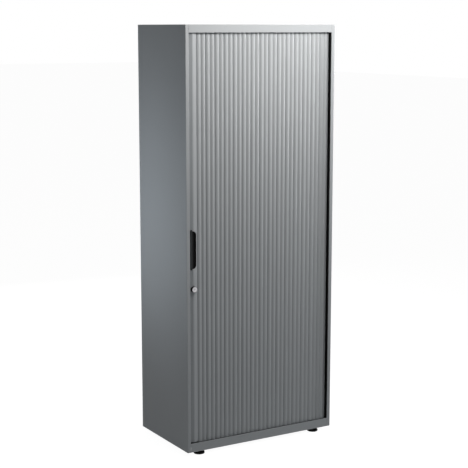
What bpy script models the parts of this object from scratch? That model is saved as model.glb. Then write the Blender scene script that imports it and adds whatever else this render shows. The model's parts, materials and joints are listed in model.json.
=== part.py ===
"""Steel cupboard closed by a vertical tambour curtain that slides to the right.

Metres, +Z up, the front faces -Y, and the origin is on the floor under the middle of the body.
Places are worked out as x from the left side, y back from the front face and z up from the floor.
"""

import math

import bmesh
import bpy
from mathutils import Matrix, Vector

# Body
WIDTH = 0.800
DEPTH = 0.466
HEIGHT = 1.981
FOOT_HEIGHT = 0.022
SHEET = 0.001
GAP = 0.0003
BEND = 0.0012
OVERRUN = 0.010

# Front frame
LEFT_STILE = 0.0172
LEFT_RETURN = 0.028
RIGHT_STILE = 0.018
RIGHT_RETURN = 0.011
TOP_RAIL = 0.036
TOP_LIP = 0.0085
BOTTOM_RAIL = 0.0415
BOTTOM_LIP = 0.015
BACK_FLANGE = 0.015
TOP_BACK_FLANGE = 0.025
BASE_BACK_FLANGE = 0.020
FLOOR_LEVEL = 0.050

# Curtain slats: two ribs each, thin lips that lap over one another at the joints
SLATS = 15
CURTAIN_END = 0.0042
RIBS_PER_SLAT = 2
RIB_STEPS = 9
CREST_SETBACK = 0.0120
RIB_DEPTH = 0.0042
JOINT_DEPTH = 0.0010
JOINT_REACH = 0.003
SLAT_WALL = 0.002
SLAT_GAP = 0.0006
LIP_WALL = 0.0008
LIP_WIDTH = 0.0033
TONGUE_WALL = 0.0009
TONGUE_REACH = 0.0028

# Tracks
TRACK_DEPTH = 0.0125
TRACK_FLOOR = 0.003
TRACK_SETBACK = 0.0028
GROOVE_CLEARANCE = 0.0012
TRACK_WALL = 0.0022
TRACK_SIDE_WALL = 0.0016
TOP_RUNNING_GAP = 0.003
REAR_BEND = 0.040
BACK_RUN = 0.300
POCKET_DEPTH = 0.061
POCKET_WIDTH = 0.053
POCKET_ROUND = 0.008
ARC_STEPS = 10
EDGE_STEPS = 2
SECTION_STEPS = 3
BEND_STEPS = 2

# Lead rail, an extruded section
RAIL_LEFT = 0.0195
RAIL_NOSE = 0.0205
RAIL_BACK = 0.030
RAIL_WALL = 0.002
CREST_LEFT = 0.038
CREST_RIGHT = 0.043
CREST_DEPTH = 0.0096
RAIL_EDGE_DEPTH = 0.0134
RAIL_WIDTH = 0.0416
RAIL_CORE_RIGHT = 0.0585
RAIL_ROUND = 0.0008
RAIL_RUNNING_GAP = 0.003

# Flush handle
HANDLE_LEVEL = 0.9726
HANDLE_HEIGHT = 0.186
HANDLE_LEFT = 0.0225
HANDLE_RIGHT = 0.0560
HANDLE_STRIP_RIGHT = 0.0360
HANDLE_PLATE = 0.0012
HANDLE_ROUND = 0.003
HANDLE_RIM = 0.0010
CUP_LEFT = 0.0340
CUP_RIGHT = 0.0550
CUP_END = 0.0075
CUP_DEPTH = 0.0255
CUP_WALL = 0.0015
CUP_ROUND = 0.0185
CUP_TIGHT_ROUND = 0.002

# Hook lock
LOCK_X = 0.0415
LOCK_LEVEL = 0.7912
BEZEL_RADIUS = 0.014
BEZEL_THICKNESS = 0.0085
BEZEL_SEAT = 0.010
BEZEL_RIM = 0.0010
BEZEL_ROUND = 0.0004
BARREL_RADIUS = 0.0085
PLUG_RADIUS = 0.005
PLUG_HEAD = 0.0012
PLUG_PROUD = 0.0005
KEY_SLOT_WIDTH = 0.0016
KEY_SLOT_HEIGHT = 0.007
KEY_SLOT_DEPTH = 0.006
NUT_RADIUS = 0.0125
NUT_THICKNESS = 0.0025
NUT_SIDES = 6
CAM_THICKNESS = 0.002
CAM_HUB = 0.009
CAM_LENGTH = 0.0335
CAM_UNDER = 0.0015
CAM_OVER = 0.004
CAM_CLAW = 0.003
CAM_CLAW_DROP = 0.008
KEEP_THICKNESS = 0.003
KEEP_CLEARANCE = 0.0007
KEEP_PLATE = 0.040
KEEP_REACH = 0.0015
ROUND_STEPS = 24

# Glides, edge strip and buffer
GLIDE_LEFT = 0.026
GLIDE_RIGHT = 0.054
GLIDE_PLUG = 0.012
GLIDE_SIDE_GAP = 0.0006
STRIP_WIDTH = 0.0080
STRIP_DEPTH = 0.0117
STRIP_ROUND = 0.0006
BUFFER_WIDTH = 0.0017
BUFFER_DEPTH = 0.006
BUFFER_SETBACK = 0.0215
BUFFER_ROUND = 0.0006

# Inner liners of the curtain channel
LINER_FRONT = 0.079
LINER_FLANGE = 0.012
LINER_TAIL = 0.010

# Slotted uprights
UPRIGHT_WEB = 0.024
UPRIGHT_FLANGE = 0.011
FRONT_UPRIGHT = 0.084
REAR_UPRIGHT_INSET = 0.070
SLOT_FIRST = 0.100
SLOT_PITCH = 0.040
SLOT_HEIGHT = 0.012
SLOT_WIDTH = 0.004
SLOT_TOP_MARGIN = 0.060

# Shelves and their side brackets
SHELF_FRONT = 0.066
SHELF_BACK_GAP = 0.022
SHELF_FOLD = 0.028
SHELF_RETURN = 0.012
SHELF_SLOT_NUMBERS = (8, 17, 26, 35)
BRACKET_HEIGHT = 0.020
BRACKET_LEDGE = 0.012
BRACKET_SHEET = 0.0012
BRACKET_SETBACK = 0.004
HOOK_HEIGHT = 0.009
HOOK_WIDTH = 0.0028
HOOK_REACH = 0.006

# Levelling feet
FOOT_INSET_X = 0.079
FOOT_INSET_Y = 0.036
FOOT_RADIUS = 0.026
FOOT_EDGE = 0.008
FOOT_CONE = 0.0145
FOOT_NECK_RADIUS = 0.009
FOOT_CHAMFER = 0.001
STEM_RADIUS = 0.005
STEM_TOP = 0.046
BUSH_RADIUS = 0.011
BUSH_LENGTH = 0.024
FOOT_STEPS = 24

MERGE = 0.00001
CORNER = Vector((-WIDTH / 2, -DEPTH / 2, 0))

# Finishes: colour, roughness, metallic
SILVER = ((0.36, 0.375, 0.39), 0.38, 0.55)
BLACK_PLASTIC = ((0.012, 0.012, 0.013), 0.45, 0.0)
GRIP_PLASTIC = ((0.028, 0.033, 0.034), 0.42, 0.0)
ZINC = ((0.55, 0.56, 0.57), 0.32, 1.0)
RUBBER = ((0.015, 0.015, 0.015), 0.75, 0.0)
SLAT_PLASTIC = ((0.34, 0.355, 0.37), 0.36, 0.45)

# Levels that several pieces share
BODY_TOP = HEIGHT - SHEET
OPENING_LOW = FOOT_HEIGHT + BOTTOM_RAIL
OPENING_HIGH = HEIGHT - TOP_RAIL
LOW_TRACK = FLOOR_LEVEL + GAP
HIGH_TRACK = BODY_TOP - GAP
LOW_GROOVE = LOW_TRACK + TRACK_FLOOR
HIGH_GROOVE = HIGH_TRACK - TRACK_FLOOR
SLAT_LOW = LOW_GROOVE + GAP
SLAT_HIGH = HIGH_GROOVE - TOP_RUNNING_GAP
RAIL_LOW = LOW_TRACK + TRACK_DEPTH + RAIL_RUNNING_GAP
RAIL_HIGH = HIGH_TRACK - TRACK_DEPTH - RAIL_RUNNING_GAP

# Depths that the curtain, its rail and its tracks share
JOINT_FACE = CREST_SETBACK + RIB_DEPTH + JOINT_DEPTH
CURTAIN_BACK = JOINT_FACE + SLAT_WALL
GROOVE_FRONT = CREST_SETBACK - GROOVE_CLEARANCE
GROOVE_BACK = CURTAIN_BACK + GROOVE_CLEARANCE - GAP
TONGUE_FRONT = CURTAIN_BACK - TONGUE_WALL
RAIL_RIGHT = RAIL_LEFT + RAIL_WIDTH
CURTAIN_LEFT = RAIL_RIGHT + SLAT_GAP / 2
HALF_SLATS = 2 * SLATS + 1
SLAT_PITCH = (WIDTH - CURTAIN_END - CURTAIN_LEFT) * 2 / HALF_SLATS
RIB_PITCH = SLAT_PITCH / RIBS_PER_SLAT

# Faces that the inner fittings stand on
SIDE_INSIDE = WIDTH - SHEET - GAP
BACK_INSIDE = DEPTH - SHEET - GAP - SHEET
TRACK_RIGHT = SIDE_INSIDE
TRACK_BACK = BACK_INSIDE - GAP
GROOVE_RIGHT = TRACK_RIGHT - TRACK_SIDE_WALL
GROOVE_WIDTH = GROOVE_BACK - GROOVE_FRONT
TRACK_INNER_X = GROOVE_RIGHT - GROOVE_WIDTH - TRACK_WALL
TRACK_INNER_Y = TRACK_BACK - TRACK_SIDE_WALL - GROOVE_WIDTH - TRACK_WALL
LINER_X = TRACK_INNER_X - GAP
LINER_Y = TRACK_INNER_Y - GAP
INNER_BEND = REAR_BEND - TRACK_SIDE_WALL - GROOVE_WIDTH - TRACK_WALL
LINER_BEND = INNER_BEND - GAP - SHEET / 2
LEFT_WEB = SHEET + GAP + UPRIGHT_FLANGE
RIGHT_WEB = LINER_X - SHEET - GAP - UPRIGHT_FLANGE
REAR_UPRIGHT = DEPTH - REAR_UPRIGHT_INSET
SHELF_BACK = DEPTH - SHELF_BACK_GAP

ALONG = {
    "x": Matrix(((0, 0, 1), (1, 0, 0), (0, 1, 0))).to_4x4(),
    "y": Matrix(((1, 0, 0), (0, 0, -1), (0, 1, 0))).to_4x4(),
    "z": Matrix.Identity(4),
}


def clear_scene():
    for old in list(bpy.data.objects):
        bpy.data.objects.remove(old, do_unlink=True)


def new_collection(name):
    found = bpy.data.collections.new(name)
    bpy.context.scene.collection.children.link(found)
    return found


def finish_material(name, finish):
    colour, roughness, metallic = finish
    made = bpy.data.materials.new(name)
    made.use_nodes = True
    shader = made.node_tree.nodes["Principled BSDF"]
    shader.inputs["Base Color"].default_value = (*colour, 1)
    shader.inputs["Roughness"].default_value = roughness
    shader.inputs["Metallic"].default_value = metallic
    made.diffuse_color = (*colour, 1)
    return made


def add_part(obj, finish):
    """Puts an object among the parts with a material of its own."""
    PARTS.objects.link(obj)
    obj.data.materials.clear()
    obj.data.materials.append(finish_material(obj.name, finish))
    return obj


def add_cutter(obj):
    CUTTERS.objects.link(obj)
    obj.hide_render = True
    obj.display_type = "WIRE"
    return obj


def box(name, low, high):
    """A block between two corners, with its origin in its middle."""
    low, high = Vector(low), Vector(high)
    mesh = bpy.data.meshes.new(name)
    shape = bmesh.new()
    bmesh.ops.create_cube(shape, size=1)
    bmesh.ops.scale(shape, vec=high - low, verts=shape.verts)
    shape.to_mesh(mesh)
    shape.free()
    obj = bpy.data.objects.new(name, mesh)
    obj.location = CORNER + (low + high) / 2
    return obj


def prism(name, outlines, low, high, along):
    """Closed outlines extruded from low to high along an axis; an outline inside another is a hole."""
    curve = bpy.data.curves.new(name, "CURVE")
    curve.dimensions = "2D"
    curve.fill_mode = "BOTH"
    curve.extrude = (high - low) / 2
    for outline in outlines:
        spline = curve.splines.new("POLY")
        spline.points.add(len(outline) - 1)
        for point, (u, v) in zip(spline.points, outline):
            point.co = (u, v, 0, 1)
        spline.use_cyclic_u = True
    guide = bpy.data.objects.new(name + "_outline", curve)
    bpy.context.scene.collection.objects.link(guide)
    middle = {"x": Vector((1, 0, 0)), "y": Vector((0, 1, 0)), "z": Vector((0, 0, 1))}[along]
    guide.matrix_world = Matrix.Translation(CORNER + middle * (low + high) / 2) @ ALONG[along]
    bpy.context.view_layer.update()
    graph = bpy.context.evaluated_depsgraph_get()
    mesh = bpy.data.meshes.new_from_object(guide.evaluated_get(graph))
    shape = bmesh.new()
    shape.from_mesh(mesh)
    bmesh.ops.remove_doubles(shape, verts=shape.verts, dist=MERGE)
    bmesh.ops.recalc_face_normals(shape, faces=shape.faces)
    shape.to_mesh(mesh)
    shape.free()
    mesh.name = name
    obj = bpy.data.objects.new(name, mesh)
    obj.matrix_world = guide.matrix_world
    bpy.data.objects.remove(guide, do_unlink=True)
    return obj


def folded_sheet(name, fold_line, low, high, along, sheet=SHEET, bend=BEND):
    """A bent sheet: its middle line drawn out along an axis, its bends rounded, then thickened."""
    mesh = bpy.data.meshes.new(name)
    shape = bmesh.new()
    points = [shape.verts.new((u, v, 0)) for u, v in fold_line]
    edges = [shape.edges.new(pair) for pair in zip(points, points[1:])]
    drawn = bmesh.ops.extrude_edge_only(shape, edges=edges)["geom"]
    moved = [item for item in drawn if isinstance(item, bmesh.types.BMVert)]
    bmesh.ops.translate(shape, verts=moved, vec=(0, 0, high - low))
    bmesh.ops.recalc_face_normals(shape, faces=shape.faces)
    shape.to_mesh(mesh)
    shape.free()
    obj = bpy.data.objects.new(name, mesh)
    middle = {"x": Vector((1, 0, 0)), "y": Vector((0, 1, 0)), "z": Vector((0, 0, 1))}[along]
    flip = -1 if along == "y" else 1
    start = high if flip < 0 else low
    obj.matrix_world = Matrix.Translation(CORNER + middle * start) @ ALONG[along]
    if bend:
        bends = obj.modifiers.new("Bends", "BEVEL")
        bends.width = bend
        bends.segments = BEND_STEPS
        bends.limit_method = "ANGLE"
    wall = obj.modifiers.new("Sheet", "SOLIDIFY")
    wall.thickness = sheet
    wall.offset = 0
    wall.use_even_offset = True
    return obj


def turned(name, profile, spot, along, steps, closed=False):
    """A profile of (radius, height) points, listed from the top down, turned about an axis through spot."""
    mesh = bpy.data.meshes.new(name)
    shape = bmesh.new()
    points = [shape.verts.new((radius, 0, height)) for radius, height in profile]
    for pair in zip(points, points[1:]):
        shape.edges.new(pair)
    if closed:
        shape.edges.new((points[-1], points[0]))
    shape.to_mesh(mesh)
    shape.free()
    obj = bpy.data.objects.new(name, mesh)
    obj.matrix_world = Matrix.Translation(CORNER + Vector(spot)) @ ALONG[along]
    screw = obj.modifiers.new("Turn", "SCREW")
    screw.angle = 2 * math.pi
    screw.steps = steps
    screw.render_steps = steps
    screw.use_merge_vertices = True
    screw.merge_threshold = MERGE
    screw.use_smooth_shade = True
    return obj


def combine(target, other, operation):
    made = target.modifiers.new(operation.title() + " " + other.name, "BOOLEAN")
    made.operation = operation
    made.object = other
    made.solver = "EXACT"
    return target


def cut(target, cutter):
    if cutter.name not in CUTTERS.objects:
        add_cutter(cutter)
    return combine(target, cutter, "DIFFERENCE")


def join(target, other):
    if other.name not in CUTTERS.objects:
        add_cutter(other)
    return combine(target, other, "UNION")


def rounded(points, radii, steps):
    """An outline with each corner replaced by an arc of its radius; a radius of zero keeps the corner."""
    outline = []
    count = len(points)
    for index, radius in enumerate(radii):
        here = Vector(points[index])
        if not radius:
            outline.append(tuple(here))
            continue
        back = (Vector(points[index - 1]) - here).normalized()
        ahead = (Vector(points[(index + 1) % count]) - here).normalized()
        half = back.angle(ahead) / 2
        centre = here + (back + ahead).normalized() * radius / math.sin(half)
        first = here + back * radius / math.tan(half) - centre
        turn = first.angle_signed(here + ahead * radius / math.tan(half) - centre)
        for step in range(steps + 1):
            angle = -turn * step / steps
            outline.append(
                (
                    centre.x + first.x * math.cos(angle) - first.y * math.sin(angle),
                    centre.y + first.x * math.sin(angle) + first.y * math.cos(angle),
                )
            )
    return outline


def offset_line(points, distance):
    """A line set off to its right side by a distance, its corners mitred."""
    moved = []
    for index, point in enumerate(points):
        here = Vector(point)
        before = (here - Vector(points[index - 1])).normalized() if index else None
        after = (Vector(points[index + 1]) - here).normalized() if index + 1 < len(points) else None
        before = before or after
        after = after or before
        normal = Vector((before.y + after.y, -before.x - after.x)).normalized()
        reach = distance / normal.dot(Vector((before.y, -before.x)))
        moved.append(tuple(here + normal * reach))
    return moved


def line_at(points, x):
    """The depth of a line of (x, y) points at x."""
    for (x0, y0), (x1, y1) in zip(points, points[1:]):
        if x0 <= x <= x1:
            return y0 + (y1 - y0) * (x - x0) / (x1 - x0)
    return points[-1][1]


def side_panel_left():
    half = SHEET / 2
    fold_line = (
        (LEFT_STILE - half, LEFT_RETURN),
        (LEFT_STILE - half, half),
        (half, half),
        (half, DEPTH - half),
        (BACK_FLANGE, DEPTH - half),
    )
    panel = folded_sheet("side_panel_left", fold_line, FOOT_HEIGHT, BODY_TOP - GAP, "z")
    return add_part(panel, SILVER)


def side_panel_right():
    half = SHEET / 2
    stile = WIDTH - RIGHT_STILE + half
    fold_line = (
        (stile, RIGHT_RETURN),
        (stile, half),
        (WIDTH - half, half),
        (WIDTH - half, DEPTH - half),
        (WIDTH - BACK_FLANGE, DEPTH - half),
    )
    panel = folded_sheet("side_panel_right", fold_line, FOOT_HEIGHT, BODY_TOP - GAP, "z")
    return add_part(panel, SILVER)


def stile_notches(name, low, high):
    """Blocks that clear the two stiles and their returns from a panel between them."""
    left = box(
        name + "_left",
        (-OVERRUN, -OVERRUN, low),
        (LEFT_STILE + GAP, LEFT_RETURN + GAP, high),
    )
    right = box(
        name + "_right",
        (WIDTH - RIGHT_STILE - GAP, -OVERRUN, low),
        (WIDTH + OVERRUN, RIGHT_RETURN + GAP, high),
    )
    return left, right


def top_panel():
    half = SHEET / 2
    fold_line = (
        (TOP_LIP, OPENING_HIGH + half),
        (half, OPENING_HIGH + half),
        (half, HEIGHT - half),
        (DEPTH - half, HEIGHT - half),
        (DEPTH - half, HEIGHT - TOP_BACK_FLANGE),
    )
    panel = folded_sheet("top_panel", fold_line, 0, WIDTH, "x")
    for notch in stile_notches("top_notch", OPENING_HIGH - OVERRUN, BODY_TOP):
        cut(panel, notch)
    for name, low, high in (
        ("top_back_notch_left", -OVERRUN, BACK_FLANGE + GAP),
        ("top_back_notch_right", WIDTH - BACK_FLANGE - GAP, WIDTH + OVERRUN),
    ):
        notch = box(
            name,
            (low, DEPTH - TOP_BACK_FLANGE, OPENING_HIGH - OVERRUN),
            (high, DEPTH + OVERRUN, BODY_TOP),
        )
        cut(panel, notch)
    return add_part(panel, SILVER)


def base_panel():
    """The floor sheet rises behind the front rail, folds over its top edge and down its face."""
    half = SHEET / 2
    floor = FLOOR_LEVEL - half
    inner_leg = SHEET + half + GAP
    fold_line = (
        (BOTTOM_LIP, FOOT_HEIGHT + half),
        (half, FOOT_HEIGHT + half),
        (half, OPENING_LOW - half),
        (inner_leg, OPENING_LOW - half),
        (inner_leg, floor),
        (TRACK_BACK - half, floor),
        (TRACK_BACK - half, FLOOR_LEVEL - BASE_BACK_FLANGE),
    )
    panel = folded_sheet("base_panel", fold_line, SHEET + GAP, SIDE_INSIDE, "x", bend=0)
    for notch in stile_notches("base_notch", -OVERRUN, OPENING_LOW + OVERRUN):
        cut(panel, notch)
    return add_part(panel, SILVER)


def back_panel():
    low = (SHEET + GAP, BACK_INSIDE, FOOT_HEIGHT)
    high = (SIDE_INSIDE, BACK_INSIDE + SHEET, BODY_TOP - GAP)
    return add_part(box("back_panel", low, high), SILVER)


def track_outlines():
    """The plan of a track and the plan of its groove: front run, corner pocket, side run and back run."""
    run_end = TRACK_RIGHT - BACK_RUN
    strip_left = WIDTH - RIGHT_STILE - STRIP_WIDTH - GAP
    pocket_left = GROOVE_RIGHT - POCKET_WIDTH
    body = rounded(
        (
            (LEFT_STILE + GAP, TRACK_SETBACK),
            (strip_left, TRACK_SETBACK),
            (strip_left, STRIP_DEPTH + GAP),
            (TRACK_RIGHT, STRIP_DEPTH + GAP),
            (TRACK_RIGHT, TRACK_BACK),
            (run_end, TRACK_BACK),
            (run_end, TRACK_INNER_Y),
            (TRACK_INNER_X, TRACK_INNER_Y),
            (TRACK_INNER_X, LINER_FRONT - SHEET),
            (pocket_left - TRACK_WALL, POCKET_DEPTH + TRACK_WALL),
            (pocket_left - TRACK_WALL, GROOVE_BACK + TRACK_WALL),
            (LEFT_STILE + GAP, GROOVE_BACK + TRACK_WALL),
        ),
        (0, 0, 0, 0, REAR_BEND, 0, 0, INNER_BEND, 0, 0, 0, 0),
        ARC_STEPS,
    )
    groove = rounded(
        (
            (LEFT_STILE - OVERRUN, GROOVE_FRONT),
            (GROOVE_RIGHT, GROOVE_FRONT),
            (GROOVE_RIGHT, TRACK_BACK - TRACK_SIDE_WALL),
            (run_end - OVERRUN, TRACK_BACK - TRACK_SIDE_WALL),
            (run_end - OVERRUN, TRACK_INNER_Y + TRACK_WALL),
            (TRACK_INNER_X + TRACK_WALL, TRACK_INNER_Y + TRACK_WALL),
            (TRACK_INNER_X + TRACK_WALL, POCKET_DEPTH),
            (pocket_left, POCKET_DEPTH),
            (pocket_left, GROOVE_BACK),
            (LEFT_STILE - OVERRUN, GROOVE_BACK),
        ),
        (
            0,
            0,
            REAR_BEND - TRACK_SIDE_WALL,
            0,
            0,
            INNER_BEND + TRACK_WALL,
            POCKET_ROUND,
            POCKET_ROUND,
            TRACK_WALL,
            0,
        ),
        ARC_STEPS,
    )
    return body, groove


def track(name, low, high, groove_low, groove_high):
    body_outline, groove_outline = track_outlines()
    body = prism(name, [body_outline], low, high, "z")
    groove = prism(name + "_groove", [groove_outline], groove_low, groove_high, "z")
    return add_part(cut(body, groove), BLACK_PLASTIC)


def tracks():
    low_edge = LOW_TRACK + TRACK_DEPTH
    high_edge = HIGH_TRACK - TRACK_DEPTH
    track("track_bottom", LOW_TRACK, low_edge, LOW_GROOVE, low_edge + OVERRUN)
    track("track_top", high_edge, HIGH_TRACK, high_edge - OVERRUN, HIGH_GROOVE)


def liners():
    """The inner walls of the channel that the open curtain runs into, with a bend at the rear corner."""
    half = SHEET / 2
    side_x = LINER_X - half
    back_y = LINER_Y - half
    tail = side_x - LINER_BEND - LINER_TAIL
    side_line = rounded(
        (
            (side_x - LINER_FLANGE, LINER_FRONT),
            (side_x, LINER_FRONT),
            (side_x, back_y),
            (tail, back_y),
        ),
        (0, 0, LINER_BEND, 0),
        ARC_STEPS,
    )
    left = TRACK_RIGHT - BACK_RUN - GAP - half
    back_line = ((left, BACK_INSIDE - GAP), (left, back_y), (tail - GAP, back_y))
    add_part(folded_sheet("liner_side", side_line, LOW_TRACK, HIGH_TRACK, "z"), SILVER)
    add_part(folded_sheet("liner_back", back_line, LOW_TRACK, HIGH_TRACK, "z"), SILVER)


def edge_strip():
    """Black edging on the return of the right stile, full height of the opening."""
    right = WIDTH - RIGHT_STILE - GAP
    outline = rounded(
        (
            (right - STRIP_WIDTH, SHEET),
            (right, SHEET),
            (right, STRIP_DEPTH),
            (right - STRIP_WIDTH, STRIP_DEPTH),
        ),
        (STRIP_ROUND, 0, 0, STRIP_ROUND),
        EDGE_STEPS,
    )
    strip = prism("edge_strip", [outline], OPENING_LOW + GAP, OPENING_HIGH - GAP, "z")
    return add_part(strip, BLACK_PLASTIC)


def closing_buffer():
    """Rubber strip on the return of the left stile, which the lead rail closes against."""
    left = LEFT_STILE + GAP
    outline = rounded(
        (
            (left, BUFFER_SETBACK),
            (left + BUFFER_WIDTH, BUFFER_SETBACK),
            (left + BUFFER_WIDTH, BUFFER_SETBACK + BUFFER_DEPTH),
            (left, BUFFER_SETBACK + BUFFER_DEPTH),
        ),
        (0, BUFFER_ROUND, BUFFER_ROUND, 0),
        EDGE_STEPS,
    )
    low = LOW_TRACK + TRACK_DEPTH + GAP
    strip = prism("closing_buffer", [outline], low, HIGH_TRACK - TRACK_DEPTH - GAP, "z")
    return add_part(strip, RUBBER)


def slat_face(along_slat):
    """Depth of a slat's face at a distance from its left edge: round ribs with a sharp valley between."""
    arch = abs(math.sin(math.pi * along_slat / RIB_PITCH))
    return CREST_SETBACK + RIB_DEPTH * (1 - arch)


def slat_outline(left, ribs):
    """One slat in plan: ribbed face, thin lip at its left edge, tongue behind the next slat's lip."""
    width = ribs * RIB_PITCH
    steps = ribs * RIB_STEPS
    edge = SLAT_GAP / 2
    whole = ribs == RIBS_PER_SLAT
    face = []
    for step in range(steps + 1):
        s = edge + (width - SLAT_GAP) * step / steps
        from_joint = min(s, width - s if whole else width)
        dip = JOINT_DEPTH * max(0, 1 - from_joint / JOINT_REACH) ** 2
        face.append((s, slat_face(s) + dip))
    back = [(s, y + SLAT_WALL) for s, y in face if s > LIP_WIDTH]
    lip = [
        (LIP_WIDTH, back[0][1]),
        (LIP_WIDTH, JOINT_FACE + LIP_WALL),
        (edge, JOINT_FACE + LIP_WALL),
    ]
    tongue = []
    if whole:
        tongue = [
            (width - edge, TONGUE_FRONT),
            (width + TONGUE_REACH, TONGUE_FRONT),
            (width + TONGUE_REACH, CURTAIN_BACK),
        ]
    outline = face + tongue + back[::-1] + lip
    return [(left + s, y) for s, y in outline]


def slats():
    for number in range(SLATS + 1):
        whole = number < SLATS
        left = CURTAIN_LEFT + number * SLAT_PITCH
        outline = slat_outline(left, RIBS_PER_SLAT if whole else 1)
        name = f"slat_{number + 1:02d}"
        add_part(prism(name, [outline], SLAT_LOW, SLAT_HIGH, "z"), SLAT_PLASTIC)


def rail_front():
    """The lead rail's face in plan: a grip slope on the left, a crest and a gentle fall to the curtain."""
    return (
        (RAIL_LEFT, RAIL_NOSE),
        (CREST_LEFT, CREST_DEPTH + SLAT_GAP),
        (CREST_RIGHT, CREST_DEPTH),
        (RAIL_RIGHT, RAIL_EDGE_DEPTH),
    )


def cup_outline(margin):
    """The D shape of the finger cup in front view, set in by a margin."""
    low = HANDLE_LEVEL - HANDLE_HEIGHT / 2 + CUP_END + margin
    high = HANDLE_LEVEL + HANDLE_HEIGHT / 2 - CUP_END - margin
    left = CUP_LEFT + margin
    right = CUP_RIGHT - margin
    wide = CUP_ROUND - margin
    tight = CUP_TIGHT_ROUND - margin if margin < CUP_TIGHT_ROUND else 0
    points = ((left, low), (right, low), (right, high), (left, high))
    return rounded(points, (tight, wide, wide, tight), ARC_STEPS)


def lead_rail():
    """Hollow extruded section with cut-outs for the finger cup, the lock's collar and its barrel."""
    front = rail_front()
    outer = rounded(
        (
            *front,
            (RAIL_RIGHT, TONGUE_FRONT),
            (RAIL_RIGHT + TONGUE_REACH, TONGUE_FRONT),
            (RAIL_RIGHT + TONGUE_REACH, CURTAIN_BACK),
            (RAIL_CORE_RIGHT, CURTAIN_BACK),
            (RAIL_CORE_RIGHT, RAIL_BACK),
            (RAIL_LEFT, RAIL_BACK),
        ),
        (RAIL_ROUND, RAIL_WALL, RAIL_WALL, RAIL_ROUND, 0, 0, 0, 0, RAIL_ROUND, RAIL_ROUND),
        SECTION_STEPS,
    )
    inner_front = offset_line(front, -RAIL_WALL)
    left = RAIL_LEFT + RAIL_WALL
    right = RAIL_CORE_RIGHT - RAIL_WALL
    cavity = [
        (left, line_at(inner_front, left)),
        *(point for point in inner_front if left < point[0] < right),
        (right, line_at(inner_front, right)),
        (right, RAIL_BACK - RAIL_WALL),
        (left, RAIL_BACK - RAIL_WALL),
    ]
    rail = prism("lead_rail", [outer, cavity], RAIL_LOW, RAIL_HIGH, "z")
    cut(rail, prism("cup_cutout", [cup_outline(-GAP)], -OVERRUN, CUP_DEPTH + GAP, "y"))
    for name, radius, end in (
        ("barrel_hole", BARREL_RADIUS + GAP, RAIL_BACK + OVERRUN),
        ("collar_hole", BEZEL_RADIUS + GAP, CREST_DEPTH + BEZEL_SEAT),
    ):
        outline = circle(LOCK_X, LOCK_LEVEL, radius, ROUND_STEPS)
        cut(rail, prism(name, [outline], -OVERRUN, end, "y"))
    return add_part(rail, SILVER)


def handle_cup():
    """Moulded flush handle: a grip strip on the rail's slope, a thin rim and the D-shaped cup behind it."""
    near_line = offset_line(rail_front(), GAP)
    far_line = offset_line(rail_front(), GAP + HANDLE_PLATE)
    near = [point for point in near_line if HANDLE_LEFT < point[0] < HANDLE_RIGHT]
    far = [point for point in far_line if HANDLE_LEFT < point[0] < HANDLE_RIGHT]
    outline = [
        (HANDLE_LEFT, line_at(far_line, HANDLE_LEFT)),
        *far,
        (HANDLE_RIGHT, line_at(far_line, HANDLE_RIGHT)),
        (HANDLE_RIGHT, line_at(near_line, HANDLE_RIGHT)),
        *reversed(near),
        (HANDLE_LEFT, line_at(near_line, HANDLE_LEFT)),
    ]
    low = HANDLE_LEVEL - HANDLE_HEIGHT / 2
    high = HANDLE_LEVEL + HANDLE_HEIGHT / 2
    plate = prism("handle_cup", [outline], low, high, "z")
    strip = rounded(
        (
            (HANDLE_LEFT, low),
            (HANDLE_STRIP_RIGHT, low),
            (HANDLE_STRIP_RIGHT, high),
            (HANDLE_LEFT, high),
        ),
        (HANDLE_ROUND, 0, 0, HANDLE_ROUND),
        ARC_STEPS,
    )
    shape = add_cutter(prism("handle_shape", [strip], 0, RAIL_BACK, "y"))
    join(shape, prism("handle_rim", [cup_outline(-HANDLE_RIM)], 0, RAIL_BACK, "y"))
    combine(plate, shape, "INTERSECT")
    join(plate, prism("cup_body", [cup_outline(0)], CREST_DEPTH + HANDLE_PLATE / 2, CUP_DEPTH, "y"))
    cut(plate, prism("cup_recess", [cup_outline(CUP_WALL)], -OVERRUN, CUP_DEPTH - CUP_WALL, "y"))
    return add_part(plate, GRIP_PLASTIC)


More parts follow.
